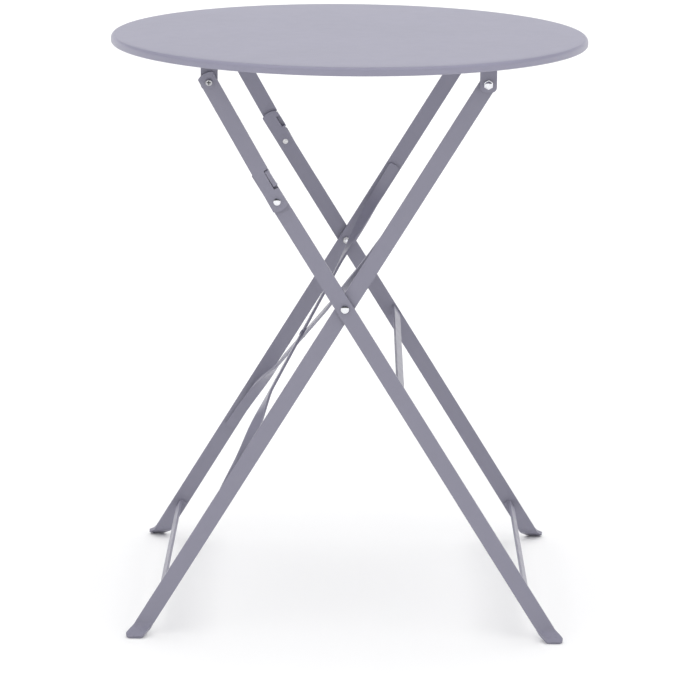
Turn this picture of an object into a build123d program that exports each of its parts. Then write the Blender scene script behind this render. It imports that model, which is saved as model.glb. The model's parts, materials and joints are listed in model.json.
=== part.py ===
from build123d import *
import os
from math import cos, radians, sin, sqrt

# Folding bistro table, millimetres, +Z up. The origin is on the floor under the middle of the top.
# Two frames cross like scissors about one line along Y. The inner frame hangs from the right hinge
# strap. The outer frame reaches the left hinge strap through two short arms with a knee between.

# ---- Driving dimensions ----
table_height = 715.0
top_diameter = 590.0
sheet = 1.0
rim_depth = 10.0
rim_bend = 5.0
rim_curl = 2.0
rim_lip = 7.0

bar_width = 20.0
bar_thickness = 4.0
layer_gap = 1.0
outer_leg_face = 213.0

# The linkage from pivot to pivot. It folds flat because
# pivot_spacing + outer_upper = inner_upper + arm_length.
pivot_height = 685.0
pivot_spacing = 328.0
inner_upper = 319.0
outer_upper = 154.0
arm_length = 163.0
knee_set = 3.3

foot_turn = radians(61)
foot_bend = 8.0
foot_plate = 15.0
foot_corner = 5.0
foot_sections = 5

# The knee: shallow arcs end the outer legs and the arms, and a strip raised from each outer leg's
# edge stops its arm in a notch.
end_arc = 20.0
arm_past_pivot = 11.5
leg_past_knee = 44.0
stop_above_knee = 17.0
stop_length = 22.0
stop_inner_edge = 6.2
stop_width = 5.0
stop_rounding = 1.5
stop_strip = 3.5
hollow_start = 2.0
hollow_length = 15.0
notch_floor = 4.2
notch_below = 2.4
notch_above = 1.0
notch_rounding = 1.5

strap_thickness = 3.0
strap_bend = 3.5
ear_below_pivot = 9.5
ear_corner = 6.0

upper_bar_width = 15.0
upper_bar_along = 117.0
upper_bar_across = 6.5
lower_bar_width = 12.0
lower_bar_along = 427.0
lower_bar_across = 0.2
lower_bar_tilt = radians(31)
lower_bar_tab = 11.0
lower_bar_bend = 3.0
crossbar_thickness = 3.0
tab_corner = 3.0

brace_width = 14.0
brace_thickness = 3.0
brace_cross_along = 96.0
brace_cross_across = -4.0
brace_slope = 0.56
brace_lean = 0.055
brace_start_pull = 32.0
brace_end_pull = 38.0
brace_sections = 12
brace_tip_corner = 4.0
brace_rivet_radius = 2.5
brace_rivet_head = 4.0
brace_rivet_head_height = 1.2

# Each end of a brace bar: how far from the middle it stays straight, then where its flat end starts
# and where it stops on the inner leg (down the leg from the cross pivot, and across it).
rear_top_end = (130.0, (-98.0, 0.9), (-120.0, 0.3))
front_bottom_end = (108.0, (238.0, -6.0), (292.0, -1.0))
front_top_end = (130.0, (-72.0, -4.3), (-100.0, -2.5))
rear_bottom_end = (125.0, (262.0, 3.2), (300.0, 1.4))

small_pin = 2.5
large_pin = 3.0
running_gap = 0.06
fixed_gap = 0.02
face_gap = 0.3
bolt_end = 0.8
nut_height = 3.2
small_nut_flats = 8.0
small_washer = 5.5
large_nut_flats = 10.0
large_washer = 6.5

cross_head_radius = 5.25
cross_head_height = 3.0
cross_head_dome = 2.3
knee_head_radius = 4.5
knee_head_height = 2.4
knee_head_dome = 1.9
knee_tail_radius = 3.5
left_head_radius = 4.2
left_head_height = 2.2
left_head_dome = 1.2
left_recess_radius = 1.8
left_recess_depth = 1.2
right_head_radius = 5.0
right_head_height = 2.6
right_bolt_reach = 2.8
cap_nut_height = 3.4
cap_dome_radius = 4.4
cap_dome_height = 2.4
cap_dome_rounding = 2.0
cap_bore_depth = 3.0

# ---- Layers along Y, from the middle outwards ----
outer_leg_inside = outer_leg_face - bar_thickness
inner_leg_face = outer_leg_inside - layer_gap
inner_leg_inside = inner_leg_face - bar_thickness
arm_inside = outer_leg_face + layer_gap
arm_face = arm_inside + bar_thickness
ear_inside = outer_leg_face - strap_thickness
front_and_rear = (-1, 1)

# ---- Pivots in the XZ plane ----
left_pivot = Vector(-pivot_spacing / 2, 0, pivot_height)
right_pivot = Vector(pivot_spacing / 2, 0, pivot_height)
arm_run = sqrt(arm_length**2 - knee_set**2)
reach = arm_run + sqrt(outer_upper**2 - knee_set**2)
cross_run = (pivot_spacing**2 + reach**2 - inner_upper**2) / (2 * pivot_spacing)
cross_drop = sqrt(reach**2 - cross_run**2)
cross_pivot = left_pivot + Vector(cross_run, 0, -cross_drop)
toggle = (cross_pivot - left_pivot).normalized()
knee = left_pivot + toggle * arm_run + Vector(toggle.Z, 0, -toggle.X) * knee_set

outer_down = (cross_pivot - knee).normalized()
inner_down = (cross_pivot - right_pivot).normalized()
arm_down = (knee - left_pivot).normalized()

foot_crease = (
    foot_bend * sin(foot_turn) + foot_plate * cos(foot_turn) + bar_thickness / 2 * sin(foot_turn)
)


def across(down):
    """The direction in the XZ plane square to a bar that runs down, towards +X."""
    return Vector(-down.Z, 0, down.X)


def bar_plane(origin, down, y):
    """A plane square to Y that faces -Y: local x runs down a bar and local y across it."""
    return Plane(origin=(origin.X, y, origin.Z), x_dir=down, z_dir=(0, -1, 0))


def layer_start(side, inside, outside):
    """The Y of a layer's rear face, from which an extrusion towards -Y fills the layer."""
    return max(side * inside, side * outside)


def outward(point, side, y):
    """A plane at a pivot, y away from the middle, that faces away from the middle."""
    return Plane(origin=(point.X, side * y, point.Z), x_dir=(1, 0, 0), z_dir=(0, side, 0))


def finish(name, piece):
    """Labels a finished piece and writes its STEP file."""
    piece.label = name
    export_step(piece, f"parts/{name}.step")


# ---- Table top: a pressed sheet with a rounded, turned-in rim ----


def make_tabletop():
    radius = top_diameter / 2
    inside = radius - sheet
    top = table_height
    under = table_height - sheet
    bottom = table_height - rim_depth
    shelf = bottom + sheet
    with BuildPart() as tabletop:
        with BuildSketch(Plane.XZ):
            with BuildLine():
                Line((0, under), (0, top))
                Line((0, top), (radius - rim_bend, top))
                RadiusArc((radius - rim_bend, top), (radius, top - rim_bend), rim_bend)
                Line((radius, top - rim_bend), (radius, bottom + rim_curl))
                RadiusArc((radius, bottom + rim_curl), (radius - rim_curl, bottom), rim_curl)
                Line((radius - rim_curl, bottom), (radius - rim_lip, bottom))
                Line((radius - rim_lip, bottom), (radius - rim_lip, shelf))
                Line((radius - rim_lip, shelf), (radius - rim_curl, shelf))
                RadiusArc((radius - rim_curl, shelf), (inside, bottom + rim_curl), sheet - rim_curl)
                Line((inside, bottom + rim_curl), (inside, top - rim_bend))
                RadiusArc((inside, top - rim_bend), (radius - rim_bend, under), sheet - rim_bend)
                Line((radius - rim_bend, under), (0, under))
            make_face()
        revolve(axis=Axis.Z)
    return tabletop.part


# ---- Bent strips: the hinge straps under the top and the two low crossbars ----


def bent_strip(plane, span, turned, width, thickness, bend):
    """A flat strip along local x, its face on local x and its two ends turned towards local -y."""
    half = (span - thickness) / 2
    with BuildPart() as strip:
        with BuildSketch(plane):
            with BuildLine():
                FilletPolyline(
                    (-half, -turned),
                    (-half, -thickness / 2),
                    (half, -thickness / 2),
                    (half, -turned),
                    radius=bend,
                )
            trace(line_width=thickness)
        extrude(amount=width / 2, both=True)
    return strip.part


def make_hinge_strap(pivot, hole_radius):
    under_sheet = table_height - sheet
    plane = Plane(origin=(pivot.X, 0, under_sheet), x_dir=(0, 1, 0), z_dir=(1, 0, 0))
    ear = under_sheet - pivot.Z + ear_below_pivot
    strip = bent_strip(plane, 2 * outer_leg_face, ear, bar_width, strap_thickness, strap_bend)
    with BuildPart() as strap:
        add(strip)
        fillet(strap.edges().filter_by(Axis.Y).group_by(Axis.Z)[0], radius=ear_corner)
        with BuildSketch(outward(pivot, 1, outer_leg_face)):
            Circle(hole_radius)
        extrude(amount=-2 * outer_leg_face, mode=Mode.SUBTRACT)
    return strap.part


def make_lower_crossbar(down, facing, inside):
    """A low crossbar, its width along the legs. Its ends turn back along the inner faces of its two legs."""
    square = across(down) * facing
    middle = cross_pivot + down * lower_bar_along + square * (lower_bar_across + crossbar_thickness / 2)
    outwards = Vector(facing * cos(lower_bar_tilt), 0, sin(lower_bar_tilt))
    plane = Plane(origin=middle, x_dir=(0, facing, 0), z_dir=outwards.cross(Vector(0, facing, 0)) * -1)
    bar = bent_strip(
        plane, 2 * inside, lower_bar_tab, lower_bar_width, crossbar_thickness, lower_bar_bend
    )
    with BuildPart() as crossbar:
        add(bar)
        long_edges = crossbar.edges().filter_by(Axis.Y)
        tips = long_edges.sort_by(lambda edge: (edge.center() - middle).dot(outwards))
        fillet(tips[:4], radius=tab_corner)
    return crossbar.part


def make_upper_crossbar():
    """A flat bar between the outer legs, its wide face square to them and its ends butted."""
    middle = cross_pivot + outer_down * upper_bar_along + across(outer_down) * upper_bar_across
    with BuildPart() as crossbar:
        with BuildSketch(bar_plane(middle, outer_down, outer_leg_inside)):
            Rectangle(upper_bar_width, crossbar_thickness)
        extrude(amount=2 * outer_leg_inside)
    return crossbar.part


# ---- Legs: flat bars with arched upper ends and feet turned outwards ----


def arc_rise(radius):
    """How far an arc across a bar rises above its two ends."""
    return radius - sqrt(radius**2 - (bar_width / 2) ** 2)


def make_leg(side, inside, down, upper_end, arc_radius, holes, with_stop):
    """A leg whose arched upper end reaches upper_end, down the leg from the cross pivot.

    holes lists each hole's place down the leg and its radius. The foot bends about a line along X,
    so the leg's lean goes on through the bend and each section is the last one moved along X.
    """
    half = bar_width / 2
    start = layer_start(side, inside, inside + bar_thickness)
    lean = -down.X / down.Z
    section_width = bar_width * sqrt(1 + lean**2)
    crease_x = cross_pivot.X + lean * (cross_pivot.Z - foot_crease)
    crease_y = side * (inside + bar_thickness / 2)
    low_left, low_right = [
        ((foot_crease - cross_pivot.Z - n * across(down).Z) / down.Z, n) for n in (-half, half)
    ]
    shoulder = upper_end + arc_rise(arc_radius)
    with BuildPart() as leg:
        with BuildSketch(bar_plane(cross_pivot, down, start)):
            with BuildLine():
                Line((shoulder, -half), low_left)
                Line(low_left, low_right)
                Line(low_right, (shoulder, half))
                ThreePointArc((shoulder, half), (upper_end, 0), (shoulder, -half))
            make_face()
            for place, radius in holes:
                with Locations((place, 0)):
                    Circle(radius, mode=Mode.SUBTRACT)
        extrude(amount=bar_thickness)
        for step in range(foot_sections + 1):
            turn = foot_turn * step / foot_sections
            forward = Vector(0, side * sin(turn), -cos(turn))
            bend_end = Vector(
                crease_x + lean * foot_bend * turn,
                crease_y + side * foot_bend * (1 - cos(turn)),
                foot_crease - foot_bend * sin(turn),
            )
            with BuildSketch(Plane(origin=bend_end, x_dir=(1, 0, 0), z_dir=forward)):
                Rectangle(section_width, bar_thickness)
        loft()
        plate_up = Vector(1, 0, 0).cross(forward)
        with BuildSketch(Plane(origin=bend_end, x_dir=(1, 0, 0), z_dir=plate_up)) as plate:
            Polygon(
                (-section_width / 2, 0),
                (section_width / 2, 0),
                (section_width / 2 + lean * foot_plate, foot_plate),
                (-section_width / 2 + lean * foot_plate, foot_plate),
                align=None,
            )
            fillet(plate.vertices().group_by(Axis.Y)[-1], radius=foot_corner)
        extrude(amount=bar_thickness / 2, both=True)
        if with_stop:
            stop_low = -outer_upper - stop_above_knee
            hollow_top = arm_face - stop_strip
            with BuildSketch(bar_plane(cross_pivot, down, layer_start(side, inside, arm_face))) as stop:
                with Locations((stop_low, stop_inner_edge)):
                    Rectangle(stop_length, stop_width, align=(Align.MAX, Align.MIN))
                fillet(stop.vertices().group_by(Axis.Y)[-1], radius=stop_rounding)
            extrude(amount=arm_face - inside)
            with BuildSketch(bar_plane(cross_pivot, down, layer_start(side, inside, hollow_top))):
                with Locations((stop_low - hollow_start, stop_inner_edge)):
                    Rectangle(hollow_length, bar_width, align=(Align.MAX, Align.MIN))
            extrude(amount=hollow_top - inside, mode=Mode.SUBTRACT)
    return leg.part


# ---- Upper arms, notched where the stop of the outer leg reaches through ----


def make_arm(side):
    notch_length = stop_length + notch_below + notch_above
    notch_end = arm_length - stop_above_knee + notch_below
    half = bar_width / 2
    upper = -arm_past_pivot
    lower = arm_length + arm_past_pivot
    upper_shoulder = upper + arc_rise(end_arc)
    lower_shoulder = lower - arc_rise(end_arc)
    with BuildPart() as arm:
        with BuildSketch(bar_plane(left_pivot, arm_down, layer_start(side, arm_inside, arm_face))) as face:
            with BuildLine():
                Line((upper_shoulder, -half), (lower_shoulder, -half))
                ThreePointArc((lower_shoulder, -half), (lower, 0), (lower_shoulder, half))
                Line((lower_shoulder, half), (upper_shoulder, half))
                ThreePointArc((upper_shoulder, half), (upper, 0), (upper_shoulder, -half))
            make_face()
            Circle(small_pin + running_gap, mode=Mode.SUBTRACT)
            with Locations((arm_length, 0)):
                Circle(large_pin + fixed_gap, mode=Mode.SUBTRACT)
            with Locations((notch_end, notch_floor)):
                Rectangle(notch_length, bar_width, align=(Align.MAX, Align.MIN), mode=Mode.SUBTRACT)
            floor_corners = face.vertices().filter_by_position(
                Axis.Y, notch_floor - fixed_gap, notch_floor + fixed_gap
            )
            fillet(floor_corners, radius=notch_rounding)
        extrude(amount=bar_thickness)
    return arm.part


# ---- Brace: two flat bars that cross on the inner frame, each end twisted flat onto a leg ----


def on_inner_frame(along, square, y):
    return cross_pivot + inner_down * along + across(inner_down) * square + Vector(0, y, 0)


def brace_point(y, slope, lift):
    """A point on a brace bar's middle line where it runs straight."""
    square = brace_cross_across + brace_lean * y + lift
    return on_inner_frame(brace_cross_along + slope * y, square, y)


def make_brace_bar(slope, lift, rear_end, front_end):
    """One bar, with its straight stretch, and at each end a quarter twist and a flat end."""
    flat_y = inner_leg_inside - brace_thickness / 2 - fixed_gap
    front = brace_point(-front_end[0], slope, lift)
    rear = brace_point(rear_end[0], slope, lift)
    face = (across(inner_down) - Vector(0, brace_lean, 0)).normalized()
    crossing = brace_point(0, slope, 0)
    with BuildPart() as bar:
        with BuildSketch(Plane(origin=front, x_dir=face, z_dir=rear - front)):
            Rectangle(brace_thickness, brace_width)
        extrude(amount=(rear - front).length)
        for side, start, (_, flat_start, flat_tip) in ((1, rear, rear_end), (-1, front, front_end)):
            along = (rear - front).normalized() * side
            finish_at = on_inner_frame(*flat_start, side * flat_y)
            tip = on_inner_frame(*flat_tip, side * flat_y)
            flat = (tip - finish_at).normalized()
            first_pull = start + along * brace_start_pull
            last_pull = finish_at - flat * brace_end_pull
            pulls = (start, first_pull, last_pull, finish_at)
            for step in range(brace_sections + 1):
                u = step / brace_sections
                v = 1 - u
                weights = (v**3, 3 * u * v**2, 3 * u**2 * v, u**3)
                place = sum((p * w for p, w in zip(pulls, weights)), Vector())
                slopes = (-3 * v**2, 3 * v * (v - 2 * u), 3 * u * (2 * v - u), 3 * u**2)
                heading = sum((p * w for p, w in zip(pulls, slopes)), Vector()).normalized()
                wide = heading.cross(face * v + across(inner_down) * u).normalized()
                twist = radians(90) * u**2 * (3 - 2 * u)
                turned = wide * cos(twist) + heading.cross(wide) * sin(twist) * side
                with BuildSketch(Plane(origin=place, x_dir=turned, z_dir=heading)):
                    Rectangle(brace_width, brace_thickness)
            loft()
            flat_plane = Plane(origin=finish_at, x_dir=flat, z_dir=(0, side, 0))
            with BuildSketch(flat_plane) as tab:
                Rectangle((tip - finish_at).length, brace_width, align=(Align.MIN, Align.CENTER))
                fillet(tab.vertices().group_by(Axis.X)[-1], radius=brace_tip_corner)
            extrude(amount=brace_thickness / 2, both=True)
        with BuildSketch(Plane(origin=crossing, z_dir=face)):
            Circle(brace_rivet_radius + fixed_gap)
        extrude(amount=brace_width, both=True, mode=Mode.SUBTRACT)
    return bar.part


def make_brace_rivet():
    face = (across(inner_down) - Vector(0, brace_lean, 0)).normalized()
    crossing = brace_point(0, 0, 0)
    with BuildPart() as rivet:
        with BuildSketch(Plane(origin=crossing, z_dir=face)):
            Circle(brace_rivet_radius)
        extrude(amount=brace_thickness + fixed_gap, both=True)
        for way in (-1, 1):
            seat = crossing + face * way * (brace_thickness + fixed_gap)
            with BuildSketch(Plane(origin=seat, z_dir=face * way)):
                Circle(brace_rivet_head)
            extrude(amount=brace_rivet_head_height)
        rings = rivet.edges().filter_by(GeomType.CIRCLE).sort_by(Axis((0, 0, 0), across(inner_down)))
        fillet([rings[0], rings[-1]], radius=brace_rivet_head_height / 2)
    return rivet.part


# ---- Fasteners: each kind has one solid at the front and one at the rear ----


def turned_pins(point, sides, steps, dome):
    """Pins of stacked discs, each given by radius, start and end away from the middle."""
    with BuildPart() as pins:
        for side in sides:
            for radius, start, end in steps:
                with BuildSketch(outward(point, side, start)):
                    Circle(radius)
                extrude(amount=end - start)
        if dome:
            outermost = pins.edges().sort_by(lambda edge: abs(edge.center().Y))[-len(sides) :]
            fillet(outermost, radius=dome)
    return pins.part


def hex_nuts(point, flats, hole, start, end):
    with BuildPart() as nuts:
        for side in front_and_rear:
            with BuildSketch(outward(point, side, start)):
                RegularPolygon(flats / 2, 6, major_radius=False)
                Circle(hole, mode=Mode.SUBTRACT)
            extrude(amount=end - start)
    return nuts.part


def washers(point, radius, hole, start, end):
    with BuildPart() as rings:
        for side in front_and_rear:
            with BuildSketch(outward(point, side, start)):
                Circle(radius)
                Circle(hole, mode=Mode.SUBTRACT)
            extrude(amount=end - start)
    return rings.part


def make_left_bolts():
    """Button heads with a shallow recess, outside the arms."""
    head_start = arm_face + face_gap
    bolts = turned_pins(
        left_pivot,
        front_and_rear,
        (
            (small_pin, ear_inside - nut_height - bolt_end, head_start),
            (left_head_radius, head_start, head_start + left_head_height),
        ),
        left_head_dome,
    )
    with BuildPart() as recessed:
        add(bolts)
        for side in front_and_rear:
            with BuildSketch(outward(left_pivot, side, head_start + left_head_height)):
                Circle(left_recess_radius)
            extrude(amount=-left_recess_depth, mode=Mode.SUBTRACT)
    return recessed.part


def make_right_cap_nuts():
    """Domed hexagon nuts outside the right hinge strap, closed over the bolt's end."""
    with BuildPart() as caps:
        for side in front_and_rear:
            with BuildSketch(outward(right_pivot, side, outer_leg_face)):
                RegularPolygon(large_nut_flats / 2, 6, major_radius=False)
            extrude(amount=cap_nut_height)
            with BuildSketch(outward(right_pivot, side, outer_leg_face + cap_nut_height)):
                Circle(cap_dome_radius)
            extrude(amount=cap_dome_height)
            with BuildSketch(outward(right_pivot, side, outer_leg_face)):
                Circle(large_pin + fixed_gap)
            extrude(amount=cap_bore_depth, mode=Mode.SUBTRACT)
        outermost = caps.edges().sort_by(lambda edge: abs(edge.center().Y))[-2:]
        fillet(outermost, radius=cap_dome_rounding)
    return caps.part


os.makedirs("parts", exist_ok=True)

finish("tabletop", make_tabletop())
finish("left_hinge_strap", make_hinge_strap(left_pivot, small_pin + fixed_gap))
finish("right_hinge_strap", make_hinge_strap(right_pivot, large_pin + fixed_gap))

outer_holes = ((0, small_pin + running_gap), (-outer_upper, large_pin + fixed_gap))
inner_holes = ((0, small_pin + fixed_gap), (-inner_upper, large_pin + running_gap))
outer_end = -outer_upper - leg_past_knee
inner_end = -inner_upper - bar_width / 2
knee_steps = (
    (large_pin, arm_inside, arm_face),
    (knee_head_radius, arm_face, arm_face + knee_head_height),
)
for side, end_name in zip(front_and_rear, ("front", "rear")):
    outer_leg = make_leg(side, outer_leg_inside, outer_down, outer_end, end_arc, outer_holes, True)
    finish(f"outer_leg_{end_name}", outer_leg)
    inner_leg = make_leg(
        side, inner_leg_inside, inner_down, inner_end, bar_width / 2, inner_holes, False
    )
    finish(f"inner_leg_{end_name}", inner_leg)
    finish(f"upper_arm_{end_name}", make_arm(side))
    finish(f"knee_rivet_{end_name}", turned_pins(knee, (side,), knee_steps, knee_head_dome))

finish("outer_upper_crossbar", make_upper_crossbar())
finish("outer_lower_crossbar", make_lower_crossbar(outer_down, 1, outer_leg_inside))
finish("inner_lower_crossbar", make_lower_crossbar(inner_down, -1, inner_leg_inside))

half_brace = (brace_thickness + fixed_gap) / 2 * sqrt(1 + brace_lean**2)
finish("rear_top_brace", make_brace_bar(-brace_slope, -half_brace, rear_top_end, front_bottom_end))
finish("front_top_brace", make_brace_bar(brace_slope, half_brace, rear_bottom_end, front_top_end))
finish("brace_rivet", make_brace_rivet())

small_hole = small_pin + fixed_gap
large_hole = large_pin + fixed_gap
cross_head = outer_leg_face + face_gap
nut_inside = inner_leg_inside - nut_height
cross_steps = (
    (small_pin, nut_inside - bolt_end, cross_head),
    (cross_head_radius, cross_head, cross_head + cross_head_height),
)
finish("cross_bolts", turned_pins(cross_pivot, front_and_rear, cross_steps, cross_head_dome))
cross_nuts = hex_nuts(cross_pivot, small_nut_flats, small_hole, nut_inside, inner_leg_inside)
finish("cross_nuts", cross_nuts)
cross_rings = washers(
    cross_pivot, small_washer, small_hole, inner_leg_face, outer_leg_inside - face_gap
)
finish("cross_washers", cross_rings)

right_head = inner_leg_inside - face_gap
right_steps = (
    (large_pin, right_head, outer_leg_face + right_bolt_reach),
    (right_head_radius, right_head - right_head_height, right_head),
)
finish("right_bolts", turned_pins(right_pivot, front_and_rear, right_steps, 0))
finish("right_cap_nuts", make_right_cap_nuts())
right_rings = washers(right_pivot, large_washer, large_hole, inner_leg_face + face_gap, ear_inside)
finish("right_washers", right_rings)

finish("left_bolts", make_left_bolts())
left_nuts = hex_nuts(
    left_pivot, small_nut_flats, small_hole, ear_inside - nut_height, ear_inside
)
finish("left_nuts", left_nuts)
left_rings = washers(
    left_pivot, small_washer, small_hole, outer_leg_face, arm_inside - face_gap
)
finish("left_washers", left_rings)

tail_steps = (
    (large_pin, outer_leg_inside, outer_leg_face),
    (knee_tail_radius, outer_leg_inside - layer_gap + face_gap, outer_leg_inside),
)
finish("knee_rivet_tails", turned_pins(knee, front_and_rear, tail_steps, 0))
knee_rings = washers(knee, small_washer, large_hole, outer_leg_face, arm_inside - face_gap)
finish("knee_washers", knee_rings)
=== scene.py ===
import json
import math
import random

import bmesh
import bpy
from mathutils import Matrix, Vector


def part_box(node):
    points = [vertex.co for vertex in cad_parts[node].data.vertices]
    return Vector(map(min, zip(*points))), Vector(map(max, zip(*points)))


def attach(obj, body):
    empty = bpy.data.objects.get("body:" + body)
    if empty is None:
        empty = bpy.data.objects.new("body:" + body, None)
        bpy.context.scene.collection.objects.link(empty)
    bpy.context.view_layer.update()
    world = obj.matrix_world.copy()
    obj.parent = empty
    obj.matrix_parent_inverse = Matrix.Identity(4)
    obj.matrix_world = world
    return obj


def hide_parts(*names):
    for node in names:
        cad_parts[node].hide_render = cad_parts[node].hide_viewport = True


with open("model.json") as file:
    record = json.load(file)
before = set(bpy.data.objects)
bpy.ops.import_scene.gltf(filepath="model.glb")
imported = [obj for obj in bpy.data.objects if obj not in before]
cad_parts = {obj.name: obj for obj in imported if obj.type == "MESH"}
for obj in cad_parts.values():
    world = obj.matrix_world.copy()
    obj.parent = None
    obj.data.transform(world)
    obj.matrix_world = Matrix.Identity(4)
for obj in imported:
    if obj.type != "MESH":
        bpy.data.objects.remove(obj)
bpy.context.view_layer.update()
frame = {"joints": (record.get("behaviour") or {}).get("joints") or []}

# Folding bistro table, in metres. The pivots and the layers along Y come from the frame.

mm = 0.001

# ---- Driving dimensions ----
bar_width = 20 * mm
bar_thickness = 4 * mm
bar_rounding = 0.7 * mm
thin_rounding = 0.5 * mm
strip_thickness = 3 * mm
foot_turn = math.radians(61)
foot_bend = 8 * mm
foot_plate = 15 * mm
foot_corner = 5 * mm
end_arc = 20 * mm
arm_past_pivot = 11.5 * mm
leg_past_knee = 44 * mm
shoulder_corner = 0.8 * mm
stop_above_knee = 17 * mm
stop_length = 22 * mm
stop_inner_edge = 6.2 * mm
stop_width = 5 * mm
stop_strip = 3.5 * mm
hollow_start = 2 * mm
hollow_length = 15 * mm
notch_floor = 4.2 * mm
notch_below = 2.4 * mm
notch_above = 1 * mm
strap_bend = 3.5 * mm
ear_corner = 6 * mm
upper_bar_width = 15 * mm
upper_bar_along = 117 * mm
upper_bar_across = 6.5 * mm
lower_bar_width = 12 * mm
lower_bar_along = 427 * mm
lower_bar_across = 0.2 * mm
lower_bar_tilt = math.radians(31)
lower_bar_tab = 11 * mm
lower_bar_bend = 3 * mm
tab_corner = 3 * mm
brace_width = 14 * mm
brace_cross_along = 96 * mm
brace_cross_across = -4 * mm
brace_slope = 0.56
brace_lean = 0.055
brace_start_pull = 32 * mm
brace_end_pull = 38 * mm
brace_tip_corner = 4 * mm
rear_top_end = (130 * mm, (-98 * mm, 0.9 * mm), (-120 * mm, 0.3 * mm))
front_bottom_end = (108 * mm, (238 * mm, -6 * mm), (292 * mm, -1 * mm))
front_top_end = (130 * mm, (-72 * mm, -4.3 * mm), (-100 * mm, -2.5 * mm))
rear_bottom_end = (125 * mm, (262 * mm, 3.2 * mm), (300 * mm, 1.4 * mm))
rim_crease = 7 * mm
rim_lip = 7 * mm
sheet = 1 * mm
small_pin = 2.5 * mm
large_pin = 3 * mm
pin_gap = 0.06 * mm
face_gap = 0.3 * mm
nut_flats = 8 * mm
nut_height = 3.2 * mm
washer_radius = 5.5 * mm
washer_thickness = 0.7 * mm
shank_past_nut = 4 * mm
recess_arm = 2.6 * mm
recess_half_width = 0.55 * mm
stop_gap = 0.2 * mm
same_point = 1e-7

# ---- Places, from the frame ----
pivots = {joint["name"]: Vector(joint["pos_m"]) for joint in frame["joints"]}
cross = pivots["fold"]
right_pivot = pivots["top_tilt"]
left_pivot = pivots["front_arm_swing"]
knee_low, knee_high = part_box("knee_rivet_front")
knee = Vector(((knee_low.x + knee_high.x) / 2, 0, (knee_low.z + knee_high.z) / 2))
top_low, top_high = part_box("tabletop")
top_radius = (top_high.x - top_low.x) / 2
top_height = top_high.z
outer_leg_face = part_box("left_hinge_strap")[1].y
outer_leg_inside = outer_leg_face - bar_thickness
arm_inside = -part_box("upper_arm_front")[1].y
arm_face = arm_inside + bar_thickness
inner_leg_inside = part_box("cross_nuts")[1].y
inner_leg_face = inner_leg_inside + bar_thickness
ear_inside = outer_leg_face - strip_thickness

outer_down = (cross - knee).normalized()
inner_down = (cross - right_pivot).normalized()
arm_down = (knee - left_pivot).normalized()
outer_upper = (cross - knee).length
inner_upper = (cross - right_pivot).length
arm_length = (knee - left_pivot).length
foot_crease = foot_bend * math.sin(foot_turn) + foot_plate * math.cos(foot_turn)
foot_crease += bar_thickness / 2 * math.sin(foot_turn)
front_and_rear = ((-1, "front"), (1, "rear"))
y_axis = Vector((0, 1, 0))


def across(down):
    """The direction in the XZ plane square to a bar, towards +X."""
    return Vector((-down.z, 0, down.x))


# ---- Mesh helpers ----


def rounded_outline(corners, step=math.radians(10)):
    """The points of a closed outline whose corners (a, b, radius) are rounded by arcs."""
    points = []
    for index, (a, b, radius) in enumerate(corners):
        here = Vector((a, b))
        before = (Vector(corners[index - 1][:2]) - here).normalized()
        after = (Vector(corners[(index + 1) % len(corners)][:2]) - here).normalized()
        if not radius:
            points.append(here)
            continue
        half = before.angle(after) / 2
        centre = here + (before + after).normalized() * radius / math.sin(half)
        start = here + before * radius / math.tan(half) - centre
        end = here + after * radius / math.tan(half) - centre
        turn = math.pi - 2 * half
        way = math.copysign(1, start.x * end.y - start.y * end.x)
        count = max(3, math.ceil(turn / step))
        for k in range(count + 1):
            angle = way * turn * k / count
            cos, sin = math.cos(angle), math.sin(angle)
            points.append(centre + Vector((start.x * cos - start.y * sin, start.x * sin + start.y * cos)))
    return [p for i, p in enumerate(points) if (p - points[i - 1]).length > 10 * same_point]


def circle(a, b, radius, count=32):
    turns = [2 * math.pi * k / count for k in range(count)]
    return [Vector((a + radius * math.cos(t), b + radius * math.sin(t))) for t in turns]


def blank(outline, holes, thickness, rounding, cuts=()):
    """A flat plate with rounded edges, its outline in local x and y, cut across at each x in cuts."""
    bm = bmesh.new()
    half = thickness / 2
    loops = []
    for points in [outline] + list(holes):
        loops.append([bm.verts.new((p.x, p.y, -half)) for p in points])
    rim = [bm.edges.new((loop[i - 1], loop[i])) for loop in loops for i in range(len(loop))]
    bmesh.ops.triangle_fill(bm, use_beauty=True, use_dissolve=False, edges=rim)
    lid = {v: bm.verts.new((v.co.x, v.co.y, half)) for v in bm.verts[:]}
    for face in bm.faces[:]:
        bm.faces.new([lid[v] for v in face.verts])
    for loop in loops:
        for i in range(len(loop)):
            bm.faces.new((loop[i - 1], loop[i], lid[loop[i]], lid[loop[i - 1]]))
    bmesh.ops.recalc_face_normals(bm, faces=bm.faces[:])
    sharp_turn = math.radians(50)
    sharp = [e for e in bm.edges if e.calc_face_angle(0) > sharp_turn]
    bmesh.ops.bevel(
        bm, geom=sharp, offset=rounding, segments=3, profile=0.5, affect="EDGES", clamp_overlap=True
    )
    for x in cuts:
        whole = bm.verts[:] + bm.edges[:] + bm.faces[:]
        bmesh.ops.bisect_plane(bm, geom=whole, dist=same_point, plane_co=(x, 0, 0), plane_no=(1, 0, 0))
    return bm


def formed(bm, place):
    """Moves a flat plate's points to where place(x, y, height) says."""
    for vert in bm.verts:
        vert.co = place(*vert.co)
    return bm


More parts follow.
